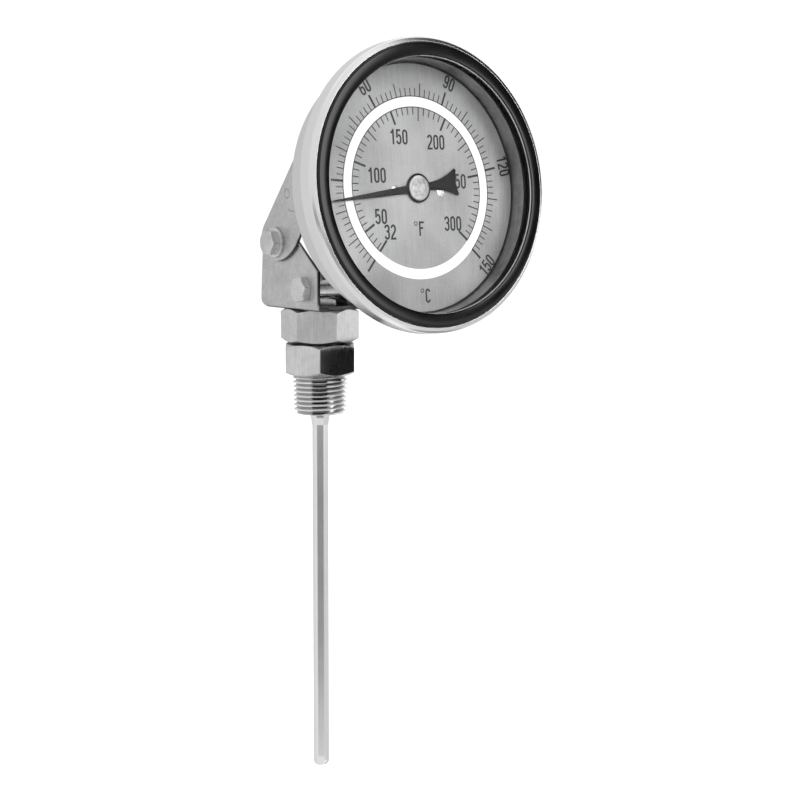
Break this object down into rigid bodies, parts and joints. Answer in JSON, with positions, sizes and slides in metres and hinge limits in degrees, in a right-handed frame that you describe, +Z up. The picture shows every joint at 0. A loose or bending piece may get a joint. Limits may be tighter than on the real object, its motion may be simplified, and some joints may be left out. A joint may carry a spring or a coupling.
{
  "type": "dial thermometer",
  "caption": "Bimetal dial thermometer with a round glazed dial on a tilting bracket, a swivel hexagon connection with a tapered pipe thread, and a long thin probe stem.",
  "frame": {"origin": "on the stem axis, in the plane of the small end of the tapered process thread", "axes": "+Z up along the stem towards the head; the dial faces -Y, tilted 5.4 degrees up at rest; X is along the tilt hinge"},
  "size_m": [0.105, 0.0973, 0.2876],
  "materials": {
    "machined_steel": "machined, satin",
    "stem_steel": "drawn and polished tube",
    "sheet_steel": "pickled sheet, satin",
    "fastener_steel": "stainless fastener",
    "shaft_steel": "drawn wire",
    "case_steel": "fine brushed stainless",
    "bezel_steel": "polished stainless",
    "spacer": "plain aluminium strip",
    "dial": "satin aluminium with printed scales",
    "support": "machined",
    "hub": "nickel plated, fine turned",
    "bush_brass": "turned",
    "bimetal": "rolled bimetal strip",
    "trim_black": "gloss black",
    "gasket": "matt black",
    "seal": "PTFE",
    "pointer_black": "matt black paint",
    "window": "clear flat glass"
  },
  "bodies": {
    "process_connection": {"process_fitting": "machined_steel", "union_nut": "machined_steel", "swivel_seal": "seal"},
    "stem_and_yoke": {"stem_tube": "stem_steel", "stem_tip_plug": "stem_steel", "stem_sleeve": "stem_steel", "swivel_neck": "machined_steel", "neck_lock_nut": "machined_steel", "yoke_bracket": "sheet_steel", "pivot_screws": "fastener_steel", "pivot_washers": "fastener_steel", "pivot_nuts": "fastener_steel", "tie_bolt": "fastener_steel", "tie_nut": "fastener_steel", "tie_spacer": "fastener_steel", "stem_guide_bushes": "seal", "neck_bush": "bush_brass", "bimetal_helix": "bimetal", "flex_coupling": "shaft_steel"},
    "drive_shaft": {"stem_shaft": "shaft_steel"},
    "head": {"case_bracket": "sheet_steel", "bracket_rivets": "fastener_steel", "case_cup": "case_steel", "bezel": "bezel_steel", "trim_ring": "trim_black", "window_glass": "window", "window_gasket": "gasket", "spacer_ring": "spacer", "dial_plate": "dial", "dial_screws": "hub", "movement_support": "support", "pointer_bush": "bush_brass", "case_bush": "bush_brass"},
    "pointer_group": {"pointer": "pointer_black", "pointer_hub": "hub", "pointer_shaft": "shaft_steel"}
  },
  "joints": [
    {"name": "head_swivel", "type": "hinge", "parent": "process_connection", "child": "stem_and_yoke", "pos_m": [0, 0, 0.035], "axis": [0, 0, 1], "continuous": true},
    {"name": "head_tilt", "type": "hinge", "parent": "stem_and_yoke", "child": "head", "pos_m": [0, 0.006, 0.0678], "axis": [1, 0, 0], "range_deg": [-90, 20], "deforming": ["flex_coupling"]},
    {"name": "pointer_turn", "type": "hinge", "parent": "head", "child": "pointer_group", "pos_m": [0, -0.06242, 0.08868], "axis": [0, 0.9956, -0.0941], "range_deg": [-46, 232], "stiffness_Nm_per_rad": 0.002, "deforming": ["bimetal_helix"]},
    {"name": "shaft_turn", "type": "hinge", "parent": "stem_and_yoke", "child": "drive_shaft", "pos_m": [0, 0, 0], "axis": [0, 0, -1], "range_deg": [-46, 232]}
  ],
  "couplings": [
    {"joint": "shaft_turn", "follows": "pointer_turn", "ratio": 1}
  ]
}
